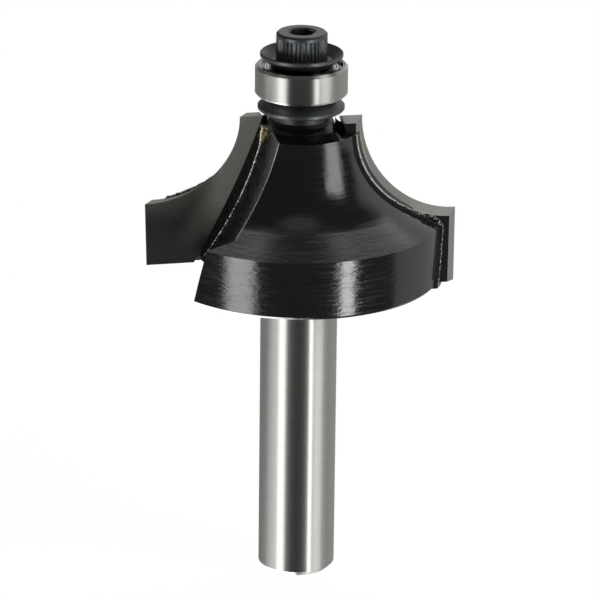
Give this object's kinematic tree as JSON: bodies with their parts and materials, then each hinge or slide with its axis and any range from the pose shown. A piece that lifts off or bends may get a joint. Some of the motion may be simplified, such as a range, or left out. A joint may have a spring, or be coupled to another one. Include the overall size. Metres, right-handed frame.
{
  "type": "router bit",
  "caption": "Bearing-guided rounding-over router bit with two brazed carbide tips on an 8 mm shank.",
  "frame": {"origin": "centre of the shank's flat end", "axes": "+Z along the axis of rotation, from the shank's end towards the pilot screw; +X from the axis towards tip 1"},
  "size_m": [0.0314, 0.0292, 0.0587],
  "materials": {
    "coating": "gloss",
    "carbide": "satin",
    "braze": "satin",
    "bearing_steel": "polished",
    "cage_steel": "satin",
    "black_oxide": "satin"
  },
  "bodies": {
    "cutter": {"cutter_body": "coating", "carbide_tip_1": "carbide", "carbide_tip_2": "carbide", "braze_seam_1": "braze", "braze_seam_2": "braze", "lower_washer": "black_oxide", "upper_washer": "black_oxide", "pilot_screw": "black_oxide", "bearing_inner_ring": "bearing_steel"},
    "pilot": {"bearing_outer_ring": "bearing_steel", "upper_shield": "bearing_steel", "lower_shield": "bearing_steel", "upper_snap_ring": "bearing_steel", "lower_snap_ring": "bearing_steel"},
    "ball_set": {"ball_cage": "cage_steel", "ball_1": "bearing_steel", "ball_2": "bearing_steel", "ball_3": "bearing_steel", "ball_4": "bearing_steel", "ball_5": "bearing_steel", "ball_6": "bearing_steel", "ball_7": "bearing_steel", "ball_8": "bearing_steel"}
  },
  "joints": [
    {"name": "pilot_spin", "type": "hinge", "parent": "cutter", "child": "pilot", "pos_m": [0, 0, 0.05366], "axis": [0, 0, 1], "continuous": true},
    {"name": "ball_travel", "type": "hinge", "parent": "cutter", "child": "ball_set", "pos_m": [0, 0, 0.05366], "axis": [0, 0, 1], "continuous": true}
  ],
  "couplings": [
    {"joint": "ball_travel", "follows": "pilot_spin", "ratio": 0.6123}
  ]
}
